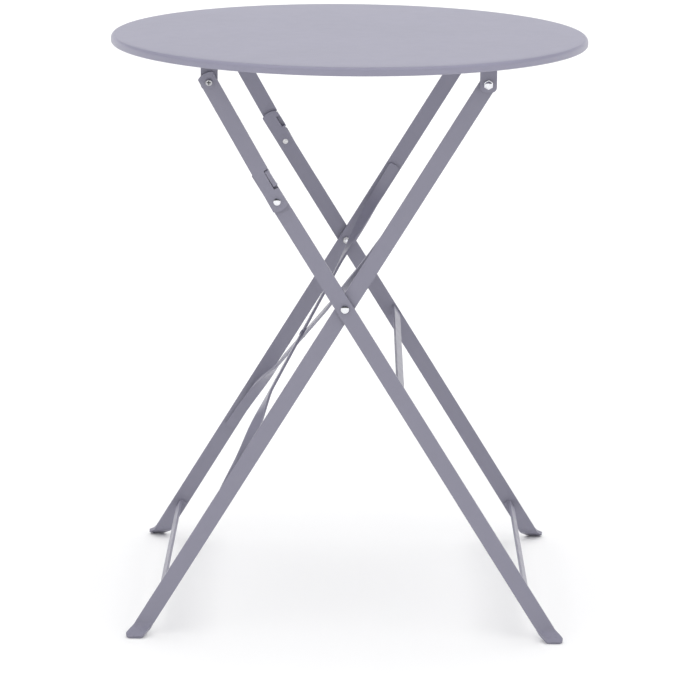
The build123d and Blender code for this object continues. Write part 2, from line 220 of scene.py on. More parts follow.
def lathe(profile, count=64, taper=None):
    """Turns a profile of (radius, height) about local z. taper(radius, angle, height) may trim it."""
    bm = bmesh.new()
    rows = []
    for radius, height in profile:
        if radius < same_point:
            rows.append([bm.verts.new((0, 0, height))])
            continue
        row = []
        for k in range(count):
            angle = 2 * math.pi * k / count
            r = taper(radius, angle, height) if taper else radius
            row.append(bm.verts.new((r * math.cos(angle), r * math.sin(angle), height)))
        rows.append(row)
    for low, high in zip(rows, rows[1:]):
        for k in range(count):
            n = (k + 1) % count
            ring = [low[k % len(low)], low[n % len(low)], high[n % len(high)], high[k % len(high)]]
            corners = list(dict.fromkeys(ring))
            if len(corners) > 2:
                bm.faces.new(corners)
    for row in (rows[0], rows[-1]):
        if len(row) > 2:
            bm.faces.new(row)
    bmesh.ops.recalc_face_normals(bm, faces=bm.faces[:])
    return bm


def outward(point, side, y):
    """The place of a turned piece at a pivot, its axis pointing away from the middle."""
    turn = Matrix.Rotation(side * -math.pi / 2, 4, "X")
    return Matrix.Translation((point.x, side * y, point.z)) @ turn


def gathered(pieces):
    """Joins (bmesh, matrix) pairs into one bmesh."""
    whole = bmesh.new()
    for bm, matrix in pieces:
        bm.transform(matrix)
        loose = bpy.data.meshes.new("loose")
        bm.to_mesh(loose)
        bm.free()
        whole.from_mesh(loose)
        bpy.data.meshes.remove(loose)
    return whole


def add_piece(name, bm, material, body, node=None, smooth=math.radians(34)):
    """Makes the object, gives it its finish and lets it ride on its body."""
    bmesh.ops.remove_doubles(bm, verts=bm.verts[:], dist=same_point)
    bmesh.ops.recalc_face_normals(bm, faces=bm.faces[:])
    mesh = bpy.data.meshes.new(name)
    bm.to_mesh(mesh)
    bm.free()
    mesh.polygons.foreach_set("use_smooth", [True] * len(mesh.polygons))
    mesh.set_sharp_from_angle(angle=smooth)
    mesh.materials.append(material)
    obj = bpy.data.objects.new(name, mesh)
    bpy.context.scene.collection.objects.link(obj)
    weighted = obj.modifiers.new("even_normals", "WEIGHTED_NORMAL")
    weighted.keep_sharp = True
    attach(obj, body)
    if node:
        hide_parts(node)


# ---- Materials ----


class Nodes:
    """A short way to lay out one material's nodes."""

    def __init__(self, name, slot):
        self.material = bpy.data.materials.new(name)
        self.material.use_nodes = True
        self.material["slot"] = slot
        self.tree = self.material.node_tree
        self.shader = self.tree.nodes["Principled BSDF"]
        self.place = self.node("ShaderNodeTexCoord").outputs["Object"]

    def node(self, kind, **values):
        made = self.tree.nodes.new(kind)
        for key, value in values.items():
            setattr(made, key, value)
        return made

    def link(self, source, target):
        if isinstance(source, (int, float, tuple)):
            target.default_value = source
        else:
            self.tree.links.new(source, target)

    def noise(self, scale, detail=3.0, roughness=0.5):
        made = self.node("ShaderNodeTexNoise")
        self.link(self.place, made.inputs["Vector"])
        made.inputs["Scale"].default_value = scale
        made.inputs["Detail"].default_value = detail
        made.inputs["Roughness"].default_value = roughness
        return made.outputs["Fac"]

    def math(self, operation, a, b=0.0, clamp=False):
        made = self.node("ShaderNodeMath", operation=operation, use_clamp=clamp)
        self.link(a, made.inputs[0])
        self.link(b, made.inputs[1])
        return made.outputs[0]

    def spread(self, value, low, high, out_low=0.0, out_high=1.0):
        made = self.node("ShaderNodeMapRange")
        made.interpolation_type = "SMOOTHSTEP"
        self.link(value, made.inputs["Value"])
        for key, number in zip(("From Min", "From Max", "To Min", "To Max"), (low, high, out_low, out_high)):
            made.inputs[key].default_value = number
        return made.outputs["Result"]

    def mix(self, factor, a, b):
        made = self.node("ShaderNodeMix", data_type="RGBA")
        self.link(factor, made.inputs["Factor"])
        self.link(a, made.inputs["A"])
        self.link(b, made.inputs["B"])
        return made.outputs["Result"]

    def axis(self, letter):
        """The surface's place along X, Y or Z."""
        split = self.node("ShaderNodeSeparateXYZ")
        self.link(self.place, split.inputs[0])
        return split.outputs[letter]

    def from_pivot(self, point):
        """The distance of the surface from the line through a point along Y."""
        shift = self.node("ShaderNodeVectorMath", operation="SUBTRACT")
        self.link(self.place, shift.inputs[0])
        shift.inputs[1].default_value = point
        scale = self.node("ShaderNodeVectorMath", operation="MULTIPLY")
        self.link(shift.outputs[0], scale.inputs[0])
        scale.inputs[1].default_value = (1, 0, 1)
        length = self.node("ShaderNodeVectorMath", operation="LENGTH")
        self.link(scale.outputs[0], length.inputs[0])
        return length.outputs["Value"]

    def bump(self, height, distance, strength, under=None):
        made = self.node("ShaderNodeBump")
        self.link(height, made.inputs["Height"])
        made.inputs["Distance"].default_value = distance
        made.inputs["Strength"].default_value = strength
        if under:
            self.link(under, made.inputs["Normal"])
        return made.outputs["Normal"]


def shade(colour, factor):
    return tuple(channel * factor for channel in colour[:3]) + (1.0,)


def worn_near(nodes, points, radius):
    """1 close to the pivots, where the layers rub, fading out at radius and broken up by noise."""
    total = 0.0
    for point in points:
        near = nodes.spread(nodes.from_pivot(point), radius * 0.45, radius, 1.0, 0.0)
        total = nodes.math("MAXIMUM", near, total)
    patches = nodes.spread(nodes.noise(900, 4.0, 0.6), 0.5, 0.66)
    return nodes.math("MULTIPLY", total, patches, clamp=True)


def make_paint(name, slot, colour, gloss, uneven, worn_points, dusty):
    """Powder coat: fine orange peel, uneven gloss, dust, and rubbed spots at the pivots and feet."""
    nodes = Nodes(name, slot)
    clouds = nodes.noise(7.0, 4.0, 0.55)
    speckle = nodes.noise(1600, 2.0, 0.5)
    base = nodes.mix(nodes.spread(clouds, 0.35, 0.65), shade(colour, 0.985), shade(colour, 1.015))
    base = nodes.mix(nodes.spread(speckle, 0.62, 0.8, 0.0, 0.18), base, shade(colour, 1.12))
    rubbed_radius = 13 * mm
    scuffed_low, scuffed_high, scuffed_most = 3 * mm, 22 * mm, 0.55
    dust_colour = (0.46, 0.45, 0.46, 1.0)
    wave_height, peel_height = 0.2 * mm * uneven, 0.03 * mm
    wear = worn_near(nodes, worn_points, rubbed_radius) if worn_points else 0.0
    scuffs = nodes.spread(nodes.noise(260, 5.0, 0.7), 0.52, 0.64)
    by_height = nodes.spread(nodes.axis("Z"), scuffed_low, scuffed_high, scuffed_most, 0.0)
    foot = nodes.math("MULTIPLY", by_height, scuffs)
    wear = nodes.math("MAXIMUM", nodes.math("MULTIPLY", wear, 0.6), foot)
    base = nodes.mix(wear, base, shade(colour, 0.72))
    dust = nodes.spread(nodes.noise(34, 6.0, 0.7), 0.5, 0.75, 0.0, dusty)
    base = nodes.mix(dust, base, dust_colour)
    nodes.link(base, nodes.shader.inputs["Base Color"])
    rough = nodes.spread(nodes.noise(55, 5.0, 0.6), 0.3, 0.7, gloss - uneven, gloss + uneven)
    rough = nodes.math("ADD", rough, nodes.math("MULTIPLY", dust, 0.6))
    rough = nodes.math("ADD", rough, nodes.math("MULTIPLY", wear, 0.2))
    nodes.link(rough, nodes.shader.inputs["Roughness"])
    peel = nodes.noise(950, 2.0, 0.45)
    waves = nodes.noise(120, 2.0, 0.5)
    normal = nodes.bump(waves, wave_height, 0.25)
    nodes.link(nodes.bump(peel, peel_height, 0.5, normal), nodes.shader.inputs["Normal"])
    nodes.shader.inputs["Coat Weight"].default_value = 0.12
    nodes.shader.inputs["Coat Roughness"].default_value = 0.2
    return nodes.material


def painted_recess_shade(nodes):
    """Mask for painted shade: 1 in the cross recess of the left bolts, which is painted nearly black, and 0
    on the rest of the head.
    """
    outwards = nodes.math("ABSOLUTE", nodes.axis("Y"))
    seat = arm_face + face_gap
    deep = nodes.spread(outwards, seat + 0.9 * mm, seat + 2.1 * mm, 1.0, 0.0)
    fade_start, fade_end = recess_arm + 0.05 * mm, recess_arm + 0.15 * mm
    near = nodes.spread(nodes.from_pivot(left_pivot), fade_start, fade_end, 1.0, 0.0)
    return nodes.math("MULTIPLY", deep, near, clamp=True)


def make_plating(name, colour, gloss, recessed=False):
    """Bright zinc or chrome: fine turning marks, cloudy roughness and a few dull specks."""
    nodes = Nodes(name, "plated_steel")
    clouds = nodes.noise(420, 4.0, 0.6)
    specks = nodes.spread(nodes.noise(2300, 2.0, 0.5), 0.66, 0.74)
    base = nodes.mix(nodes.spread(clouds, 0.3, 0.7), shade(colour, 0.9), shade(colour, 1.05))
    base = nodes.mix(nodes.math("MULTIPLY", specks, 0.35), base, shade(colour, 0.55))
    if recessed:
        # Painted shade: the cross recess of the left bolts is painted nearly black.
        base = nodes.mix(painted_recess_shade(nodes), base, shade(colour, 0.05))
    nodes.link(base, nodes.shader.inputs["Base Color"])
    rough = nodes.spread(clouds, 0.3, 0.7, gloss - 0.05, gloss + 0.09)
    rough = nodes.math("ADD", rough, nodes.math("MULTIPLY", specks, 0.2))
    nodes.link(rough, nodes.shader.inputs["Roughness"])
    nodes.link(nodes.bump(nodes.noise(1500, 3.0, 0.6), 0.02 * mm, 0.35), nodes.shader.inputs["Normal"])
    nodes.shader.inputs["Metallic"].default_value = 1.0
    return nodes.material


def make_floor_material():
    nodes = Nodes("studio_floor", "none")
    darker, lighter = (0.875, 0.875, 0.875, 1.0), (0.885, 0.885, 0.885, 1.0)
    nodes.link(nodes.mix(nodes.noise(3.0), darker, lighter), nodes.shader.inputs["Base Color"])
    nodes.shader.inputs["Roughness"].default_value = 0.9
    nodes.shader.inputs["Specular IOR Level"].default_value = 0.1
    return nodes.material


# Painted light: the top's paint is the frame's paint made about 15% lighter, for the light that falls on it
# from above.
top_colour_painted_lighter = (0.264, 0.258, 0.336)
frame_colour = (0.229, 0.224, 0.286)
pivot_points = [cross, right_pivot, left_pivot, knee]
top_paint = make_paint("top_powder_coat", "top_paint", top_colour_painted_lighter, 0.42, 0.012, [], 0.02)
frame_paint = make_paint("frame_powder_coat", "frame_paint", frame_colour, 0.40, 0.05, pivot_points, 0.04)
bright_plating = make_plating("bright_plating", (0.80, 0.81, 0.84), 0.10)
dull_plating = make_plating("dull_plating", (0.62, 0.62, 0.63), 0.3)
# Painted shade: a darker copy of the plating for the left bolts, which sit in the tabletop's shadow.
shaded_screw_plating = make_plating("shaded_screw_plating", (0.46, 0.46, 0.48), 0.22, recessed=True)

# ---- Table top ----


def arc(centre_r, centre_z, radius, start, end, count):
    """Points of an arc in the (radius, height) plane, angles in degrees."""
    angles = [math.radians(start + (end - start) * k / count) for k in range(count + 1)]
    return [(centre_r + radius * math.cos(t), centre_z + radius * math.sin(t)) for t in angles]


def make_tabletop():
    """Pressed sheet: flat disc, a fine crease, the rounded edge, a short wall and the curled-in lip."""
    low = top_low.z
    edge = top_radius
    bend = 5 * mm
    curl = 2 * mm
    wall_foot = 3.2 * mm
    crease = edge - rim_crease
    crease_depth, crease_floor, edge_drop = 0.22 * mm, 0.26 * mm, 0.12 * mm
    crease_before, crease_after = 0.8 * mm, 0.7 * mm
    rings = 14
    outside = [(0, top_height)]
    outside += [(crease * k / rings, top_height) for k in range(1, rings)]
    outside += [(crease - crease_before, top_height), (crease, top_height - crease_depth)]
    outside += [(crease + crease_after, top_height - crease_floor)]
    outside += arc(edge - bend, top_height - edge_drop - bend, bend, 84, 0, 12)
    outside += [(edge, low + wall_foot)]
    outside += arc(edge - curl, low + curl, curl, 0, -90, 6)
    outside += [(edge - rim_lip + 0.4 * mm, low)]
    lip = arc(edge - rim_lip + 0.5 * mm, low + sheet / 2, sheet / 2, -90, -270, 6)
    inner = curl - sheet
    inside = [(edge - curl, low + sheet)]
    inside += arc(edge - curl, low + curl, inner, -90, 0, 5)[1:]
    inside += arc(edge - bend, top_height - bend, bend - sheet, 0, 90, 8)
    inside += [(crease * k / rings, top_height - sheet) for k in range(rings, 0, -1)]
    inside += [(0, top_height - sheet)]
    bm = lathe(outside + lip + inside, count=288)
    add_piece("table_top_pan", bm, top_paint, "top", "tabletop", math.radians(40))


# ---- Strips bent into a shallow U: hinge straps and low crossbars ----


def u_place(middle, along, wide, up, half, bend):
    """Forms a flat strip into a U: flat for half each way along, then bent by 90 degrees away from up.

    half is the half span of the strip's middle surface and bend its middle radius.
    """
    flat = half - bend
    arc_length = bend * math.pi / 2

    def place(a, b, h):
        way = math.copysign(1, a)
        past = abs(a) - flat
        if past <= 0:
            out, drop, out_h, up_h = abs(a), 0.0, 0.0, 1.0
        elif past < arc_length:
            t = past / bend
            out, drop = flat + bend * math.sin(t), bend * (1 - math.cos(t))
            out_h, up_h = math.sin(t), math.cos(t)
        else:
            out, drop = half, bend + past - arc_length
            out_h, up_h = 1.0, 0.0
        return middle + along * way * (out + out_h * h) + wide * b + up * (up_h * h - drop)

    return place


def u_strip(middle, along, wide, up, half, bend, tab, width, corner, hole=0.0, hole_drop=0.0):
    """A bent strip with its middle surface's span, its tabs' length and an optional hole in each tab."""
    flat = half - bend
    arc_length = bend * math.pi / 2
    end = flat + arc_length + tab - bend
    corners = [(end, -width / 2, corner), (end, width / 2, corner)]
    corners += [(-end, width / 2, corner), (-end, -width / 2, corner)]
    holes = []
    if hole:
        place_hole = flat + arc_length + hole_drop - bend
        holes = [circle(place_hole, 0, hole), circle(-place_hole, 0, hole)]
    cuts = [way * (flat + arc_length * k / 8) for k in range(9) for way in (-1, 1)]
    bm = blank(rounded_outline(corners), holes, strip_thickness, thin_rounding, cuts)
    return formed(bm, u_place(middle, along, wide, up, half, bend))


def make_hinge_straps():
    for name, pivot, hole in (
        ("left_hinge_strap", left_pivot, small_pin + pin_gap),
        ("right_hinge_strap", right_pivot, large_pin + pin_gap),
    ):
        low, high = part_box(name)
        middle = Vector((pivot.x, 0, high.z - strip_thickness / 2))
        half = high.y - strip_thickness / 2
        bm = u_strip(
            middle, y_axis, Vector((1, 0, 0)), Vector((0, 0, 1)), half, strap_bend,
            middle.z - low.z, bar_width, ear_corner, hole, middle.z - pivot.z,
        )
        add_piece(f"{name}_bent", bm, frame_paint, "top", name)


def make_lower_crossbar(name, body, down, facing, inside):
    outwards = Vector((facing * math.cos(lower_bar_tilt), 0, math.sin(lower_bar_tilt)))
    middle = cross + down * lower_bar_along
    middle += across(down) * facing * (lower_bar_across + strip_thickness / 2)
    middle -= outwards * strip_thickness / 2
    half = inside - strip_thickness / 2
    bm = u_strip(
        middle, y_axis, outwards.cross(y_axis), outwards, half, lower_bar_bend,
        lower_bar_tab - strip_thickness / 2, lower_bar_width, tab_corner,
    )
    add_piece(f"{name}_bent", bm, frame_paint, body, name)


def upper_bar_middle():
    return cross + outer_down * upper_bar_along + across(outer_down) * upper_bar_across


def make_upper_crossbar():
    middle = upper_bar_middle()
    reach = outer_leg_inside
    half = upper_bar_width / 2
    corners = [(-reach, -half, 0), (reach, -half, 0), (reach, half, 0), (-reach, half, 0)]
    bm = blank(rounded_outline(corners), [], strip_thickness, thin_rounding, [0.0])
    square = across(outer_down)
    formed(bm, lambda a, b, h: middle + y_axis * a + outer_down * b + square * h)
    add_piece("outer_upper_crossbar_flat", bm, frame_paint, "outer_frame", "outer_upper_crossbar")


# ---- Legs and arms ----


def foot_place(side, inside):
    """Forms a flat leg (depth below the foot's crease, X, height outwards) into its bent shape."""
    middle = inside + bar_thickness / 2
    bend_length = foot_bend * foot_turn

    def place(depth, x, h):
        t = min(max(depth / foot_bend, 0.0), foot_turn)
        past = max(depth - bend_length, 0.0)
        above = min(depth, 0.0)
        y = middle + foot_bend * (1 - math.cos(t)) + past * math.sin(t) + h * math.cos(t)
        z = foot_crease - above - foot_bend * math.sin(t) - past * math.cos(t) + h * math.sin(t)
        return Vector((x, side * y, z))

    return place


def arched_end(tip, inwards, half):
    """The corners of a bar's end that a shallow arc closes, from local -y to +y."""
    rise = end_arc - math.sqrt(end_arc**2 - half**2)
    steps = 12
    corners = [(tip + inwards * rise, -half, shoulder_corner)]
    for k in range(1, steps):
        y = half * (2 * k / steps - 1)
        x = tip + inwards * (end_arc - math.sqrt(end_arc**2 - y**2))
        corners.append((x, y, 0))
    return corners + [(tip + inwards * rise, half, shoulder_corner)]


def make_leg(name, body, side, inside, down, top_corners, holes):
    """A flat bar, drawn flat, then bent outwards at the foot. top_corners go round its upper end."""
    lean = -down.x / down.z
    along = Vector((-down.z, down.x))
    square = Vector((-along.y, along.x))
    start = Vector((foot_crease - cross.z, cross.x))
    end_depth = foot_bend * foot_turn + foot_plate
    foot_x = cross.x + lean * (cross.z - foot_crease + end_depth)
    foot_half = bar_width / 2 * math.sqrt(1 + lean**2)
    corners = [(end_depth, foot_x + foot_half, foot_corner), (end_depth, foot_x - foot_half, foot_corner)]
    corners += [(*(start + along * x + square * y), radius) for x, y, radius in top_corners]
    drilled = [circle(*(start + along * place), radius) for place, radius in holes]
    cuts = [foot_bend * foot_turn * k / 12 for k in range(13)]
    bm = blank(rounded_outline(corners), drilled, bar_thickness, bar_rounding, cuts)
    add_piece(f"{name}_bar", formed(bm, foot_place(side, inside)), frame_paint, body, name)


def outer_leg_top():
    """The outer leg's upper end, with the gap in its edge that the raised strip leaves."""
    half = bar_width / 2
    low = -outer_upper - stop_above_knee
    floor = stop_inner_edge + stop_gap
    corners = arched_end(-outer_upper - leg_past_knee, 1, half)
    corners += [(low - stop_length, half, 0), (low - stop_length, floor, 0)]
    return corners + [(low, floor, 0), (low, half, 0)]


def make_stop(side, end_name):
    """The strip raised from the outer leg's edge, which stops the arm in its notch."""
    root = outer_leg_inside + 0.15 * mm
    under = arm_face - stop_strip
    near_end = 0.1 * mm
    far_end = stop_length - near_end
    near_corner, far_corner, hollow_corner = 1.6 * mm, 2.2 * mm, 1.5 * mm
    hollow_end = hollow_start + hollow_length
    corners = [(near_end, root, 0), (near_end, arm_face, near_corner)]
    corners += [(far_end, arm_face, far_corner), (far_end, root, 0)]
    corners += [(hollow_end, root, 0), (hollow_end, under, hollow_corner)]
    corners += [(hollow_start, under, hollow_corner), (hollow_start, root, 0)]
    bm = blank(rounded_outline(corners), [], stop_width, thin_rounding)
    low = cross - outer_down * (outer_upper + stop_above_knee)
    low += across(outer_down) * (stop_inner_edge + stop_width / 2)
    square = across(outer_down)
    formed(bm, lambda a, b, h: low - outer_down * a + square * h + y_axis * side * b)
    add_piece(f"outer_leg_{end_name}_stop", bm, frame_paint, "outer_frame")


def make_arm(side, end_name):
    half = bar_width / 2
    low_end = arm_length - stop_above_knee + notch_below
    high_end = low_end - stop_length - notch_below - notch_above
    corners = arched_end(-arm_past_pivot, 1, half)
    mouth_corner, floor_corner = 1 * mm, 1.5 * mm
    corners += [(high_end, half, mouth_corner), (high_end, notch_floor, floor_corner)]
    corners += [(low_end, notch_floor, floor_corner), (low_end, half, mouth_corner)]
    corners += reversed(arched_end(arm_length + arm_past_pivot, -1, half))
    holes = [circle(0, 0, small_pin + pin_gap), circle(arm_length, 0, large_pin + pin_gap)]
    bm = blank(rounded_outline(corners), holes, bar_thickness, bar_rounding)
    middle = arm_inside + bar_thickness / 2
    square = across(arm_down)
    formed(bm, lambda a, b, h: left_pivot + arm_down * a + square * b + y_axis * side * (middle + h))
    name = f"upper_arm_{end_name}"
    add_piece(f"{name}_bar", bm, frame_paint, f"arm_{end_name}", name)


def make_legs_and_arms():
    outer_holes = ((0, small_pin + pin_gap), (-outer_upper, large_pin + pin_gap))
    inner_holes = ((0, small_pin + pin_gap), (-inner_upper, large_pin + pin_gap))
    half = bar_width / 2
    inner_top = [(-inner_upper - half, -half, half), (-inner_upper - half, half, half)]
    for side, end_name in front_and_rear:
        make_leg(
            f"outer_leg_{end_name}", "outer_frame", side, outer_leg_inside, outer_down,
            outer_leg_top(), outer_holes,
        )
        make_leg(
            f"inner_leg_{end_name}", "inner_frame", side, inner_leg_inside, inner_down,
            inner_top, inner_holes,
        )
        make_stop(side, end_name)
        make_arm(side, end_name)


# ---- Brace ----

brace_face = (across(inner_down) - y_axis * brace_lean).normalized()


def on_inner_frame(along, square, y):
    return cross + inner_down * along + across(inner_down) * square + y_axis * y


def brace_point(y, slope, lift):
    square = brace_cross_across + brace_lean * y + lift
    return on_inner_frame(brace_cross_along + slope * y, square, y)


def curve_point(pulls, u):
    """The place and the heading at u on a cubic curve with four pulls."""
    v = 1 - u
    weights = (v**3, 3 * u * v**2, 3 * u**2 * v, u**3)
    slopes = (-3 * v**2, 3 * v * (v - 2 * u), 3 * u * (2 * v - u), 3 * u**2)
    place = sum((p * w for p, w in zip(pulls, weights)), Vector((0, 0, 0)))
    heading = sum((p * w for p, w in zip(pulls, slopes)), Vector((0, 0, 0)))
    return place, heading.normalized()


def make_brace_bar(name, slope, lift, rear_end, front_end):
    """A flat bar formed along its route: straight, then a quarter twist and a flat end each way."""
    leg_gap = 0.02 * mm
    flat_y = inner_leg_inside - strip_thickness / 2 - leg_gap
    front = brace_point(-front_end[0], slope, lift)
    rear = brace_point(rear_end[0], slope, lift)
    middle = (front + rear) / 2
    along = (rear - front).normalized()
    half = (rear - front).length / 2
    steps = 20
    ends = {}
    reach = {}
    for way, start, (_, flat_start, flat_tip) in ((1, rear, rear_end), (-1, front, front_end)):
        landing = on_inner_frame(*flat_start, way * flat_y)
        tip = on_inner_frame(*flat_tip, way * flat_y)
        flat = (tip - landing).normalized()
        pulls = (start, start + along * way * brace_start_pull, landing - flat * brace_end_pull, landing)
        places = [curve_point(pulls, k / steps)[0] for k in range(steps + 1)]
        curve_length = sum((q - p).length for p, q in zip(places, places[1:]))
        ends[way] = (pulls, curve_length, flat)
        reach[way] = half + curve_length + (tip - landing).length

    def place(a, b, h):
        way = 1 if a >= 0 else -1
        past = abs(a) - half
        if past <= 0:
            return middle + along * a + along.cross(brace_face) * b + brace_face * h
        pulls, curve_length, flat = ends[way]
        u = min(past / curve_length, 1.0)
        point, heading = curve_point(pulls, u)
        point += flat * max(past - curve_length, 0.0)
        wide = heading.cross(brace_face * (1 - u) + across(inner_down) * u).normalized()
        twist = math.pi / 2 * u**2 * (3 - 2 * u)
        over = heading.cross(wide)
        turned = wide * math.cos(twist) + over * math.sin(twist) * way
        thin = heading.cross(turned)
        return point + turned * b * way - thin * h

    side = brace_width / 2
    corners = [(-reach[-1], -side, brace_tip_corner), (reach[1], -side, brace_tip_corner)]
    corners += [(reach[1], side, brace_tip_corner), (-reach[-1], side, brace_tip_corner)]
    cuts = [half * k / 4 for k in range(-4, 5)]
    cuts += [way * (half + ends[way][1] * k / 16) for way in ends for k in range(1, 17)]
    bm = blank(rounded_outline(corners), [], strip_thickness, thin_rounding, cuts)
    add_piece(f"{name}_twisted", formed(bm, place), frame_paint, "inner_frame", name)


def make_brace():
    bar_gap = 0.02 * mm
    lift = (strip_thickness / 2 + bar_gap / 2) * math.sqrt(1 + brace_lean**2)
    make_brace_bar("rear_top_brace", -brace_slope, -lift, rear_top_end, front_bottom_end)
    make_brace_bar("front_top_brace", brace_slope, lift, rear_bottom_end, front_top_end)
    seat = strip_thickness + bar_gap
    shank_radius, head_radius = 2.5 * mm, 4 * mm
    half = [(shank_radius, 0), (shank_radius, seat), (head_radius, seat), (head_radius, seat + 0.35 * mm)]
    half += [(3.7 * mm, seat + 0.75 * mm), (2.9 * mm, seat + 1.05 * mm), (1.6 * mm, seat + 1.18 * mm)]
    half += [(0, seat + 1.2 * mm)]
    profile = [(r, -z) for r, z in reversed(half[1:])] + half[1:]
    turn = brace_face.to_track_quat("Z", "Y").to_matrix().to_4x4()
    whole = gathered([(lathe(profile, 40), Matrix.Translation(brace_point(0, 0, 0)) @ turn)])
    add_piece("brace_rivet_turned", whole, frame_paint, "inner_frame", "brace_rivet")


# ---- Fasteners ----


def hexagon(flats, chamfer, height):
    """Trims a turned profile to a hexagon whose top corners are chamfered by a cone."""

    cone_slope = 1.7

    def taper(radius, angle, z):
        turn = (angle + math.pi / 6) % (math.pi / 3) - math.pi / 6
        edge = flats / 2 / math.cos(turn)
        low = flats / 2 + chamfer + z * cone_slope
        high = flats / 2 + chamfer + (height - z) * cone_slope
        return min(radius, edge, low, high)

    return taper


def nut(flats, height, hole):
    """A hexagon nut with chamfered corners and a threaded hole's countersink."""
    sink = 0.5 * mm
    profile = [(hole, 0), (hole + sink, 0)] + [(flats, height * k / 12) for k in range(13)]
    profile += [(hole + sink, height), (hole, height - sink), (hole, 0)]
    trimmed = hexagon(flats, 0.25 * mm, height)
    return lathe(profile, 96, lambda r, t, z: trimmed(r, t, z) if r == flats else r)


def shank(radius, start, end):
    """A bolt's shank from start to end, with a chamfered and ridged free end at start."""
    pitch, depth, count = 0.8 * mm, 0.22 * mm, 7
    chamfer = 0.5 * mm
    profile = [(0, start), (radius - chamfer, start)]
    for k in range(count * 2):
        profile.append((radius - (depth if k % 2 else 0), start + chamfer + pitch * k / 2))
    profile += [(radius, start + chamfer + pitch * count), (radius, end), (0, end)]
    return lathe(profile, 40)


def dome_head(radius, height, flat):
    """A low dome on a short straight edge."""
    edge = 0.15 * mm
    wall = height * 0.22
    rise = height * 0.78
    steps = 10
    profile = [(0, 0), (radius - edge, 0), (radius, edge), (radius, wall)]
    for k in range(1, steps + 1):
        t = math.pi / 2 * k / steps
        profile.append((flat + (radius - flat) * math.cos(t), wall + rise * math.sin(t)))
    profile.append((0, height))
    return lathe(profile, 64)


def ring(inner, outer, height):
    edge = min(0.15 * mm, height / 3)
    profile = [(inner, 0), (outer - edge, 0), (outer, edge), (outer, height - edge)]
    profile += [(outer - edge, height), (inner, height), (inner, 0)]
    return lathe(profile, 64)


def both_ends(make, point, y):
    """The same turned piece at the front and the rear of a pivot."""
    return gathered([(make(), outward(point, side, y)) for side, _ in front_and_rear])


def add_nuts_and_washers(which, point, body, nut_seat, washer_seat):
    """The small nuts and washers at the front and the rear of a pivot."""
    nuts = both_ends(lambda: nut(nut_flats, nut_height, small_pin), point, nut_seat - nut_height)
    add_piece(f"{which}_nuts_hex", nuts, dull_plating, body, f"{which}_nuts")
    rings = both_ends(lambda: ring(small_pin, washer_radius, washer_thickness), point, washer_seat)
    add_piece(f"{which}_washers_flat", rings, dull_plating, body, f"{which}_washers")


def make_cross_fasteners():
    head = outer_leg_face + face_gap
    head_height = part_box("cross_bolts")[1].y - head
    shank_end = inner_leg_inside - shank_past_nut
    pieces = []
    for side, _ in front_and_rear:
        pieces.append((shank(small_pin, shank_end - head, 0), outward(cross, side, head)))
        pieces.append((dome_head(5.25 * mm, head_height, 0.6 * mm), outward(cross, side, head)))
    add_piece("cross_bolts_domed", gathered(pieces), bright_plating, "inner_frame", "cross_bolts")
    add_nuts_and_washers("cross", cross, "inner_frame", inner_leg_inside, inner_leg_face)


def cap_nut():
    """A hexagon cap nut, closed by a dome."""
    flats, height = 10 * mm, 3.4 * mm
    dome, dome_foot = 4.45 * mm, 4.5 * mm
    wall, rise, steps = 0.5 * mm, 1.9 * mm, 8
    profile = [(0, 0)] + [(flats, height * k / 12) for k in range(13)]
    profile += [(dome_foot, height), (dome, height + wall)]
    for k in range(1, steps):
        t = math.pi / 2 * k / steps
        profile.append((dome * math.cos(t), height + wall + rise * math.sin(t)))
    profile.append((0, height + wall + rise))
    trimmed = hexagon(flats, 0.3 * mm, height)
    return lathe(profile, 96, lambda r, t, z: trimmed(r, t, z) if r == flats else r)


def make_right_fasteners():
    head = inner_leg_inside - face_gap
    radius, height, chamfer = 5 * mm, 2.6 * mm, 0.4 * mm
    length = outer_leg_face + 2.8 * mm - head
    profile = [(0, 0), (radius - chamfer, 0), (radius, chamfer), (radius, height - chamfer)]
    profile += [(radius - chamfer, height), (0, height)]
    body = [(0, 0), (large_pin, 0), (large_pin, length), (0, length)]
    pieces = []
    for side, _ in front_and_rear:
        pieces.append((lathe(profile, 64), outward(right_pivot, side, head - height)))
        pieces.append((lathe(body, 40), outward(right_pivot, side, head)))
    add_piece("right_bolts_round", gathered(pieces), dull_plating, "top", "right_bolts")
    caps = both_ends(cap_nut, right_pivot, outer_leg_face)
    add_piece("right_cap_nuts_domed", caps, bright_plating, "top", "right_cap_nuts")
    gap = ear_inside - inner_leg_face - face_gap
    rings = both_ends(lambda: ring(large_pin, 6.5 * mm, gap), right_pivot, inner_leg_face + face_gap)
    add_piece("right_washers_flat", rings, dull_plating, "top", "right_washers")


def recessed_head():
    """A round head with a small cross recess in its middle."""
    outer = 4.2 * mm
    edge = 0.15 * mm
    wall, rise, round_in, steps = 1.0 * mm, 1.2 * mm, 1.3 * mm, 7
    profile = [(0, 0), (outer - edge, 0), (outer, edge), (outer, wall)]
    for k in range(1, steps + 1):
        t = math.pi / 2 * k / steps
        profile.append((outer - round_in * (1 - math.cos(t)), wall + rise * math.sin(t)))
    profile += [(recess_arm, 2.2 * mm), (recess_arm, 2.19 * mm)]
    profile += [(0.75 * recess_arm, 0.75 * mm), (0, 0.7 * mm)]

    def cross_recess(radius, angle, _):
        if radius > recess_arm:
            return radius
        long_way = max(abs(math.cos(angle)), abs(math.sin(angle)))
        short_way = min(abs(math.cos(angle)), abs(math.sin(angle)))
        return min(radius / long_way, recess_half_width / max(short_way, 1e-6))

    return lathe(profile, 96, cross_recess)


def make_left_fasteners():
    head = arm_face + face_gap
    shank_end = ear_inside - shank_past_nut
    pieces = []
    for side, _ in front_and_rear:
        pieces.append((shank(small_pin, shank_end - head, 0), outward(left_pivot, side, head)))
        pieces.append((recessed_head(), outward(left_pivot, side, head)))
    add_piece("left_bolts_recessed", gathered(pieces), shaded_screw_plating, "top", "left_bolts")
    add_nuts_and_washers("left", left_pivot, "top", ear_inside, outer_leg_face)


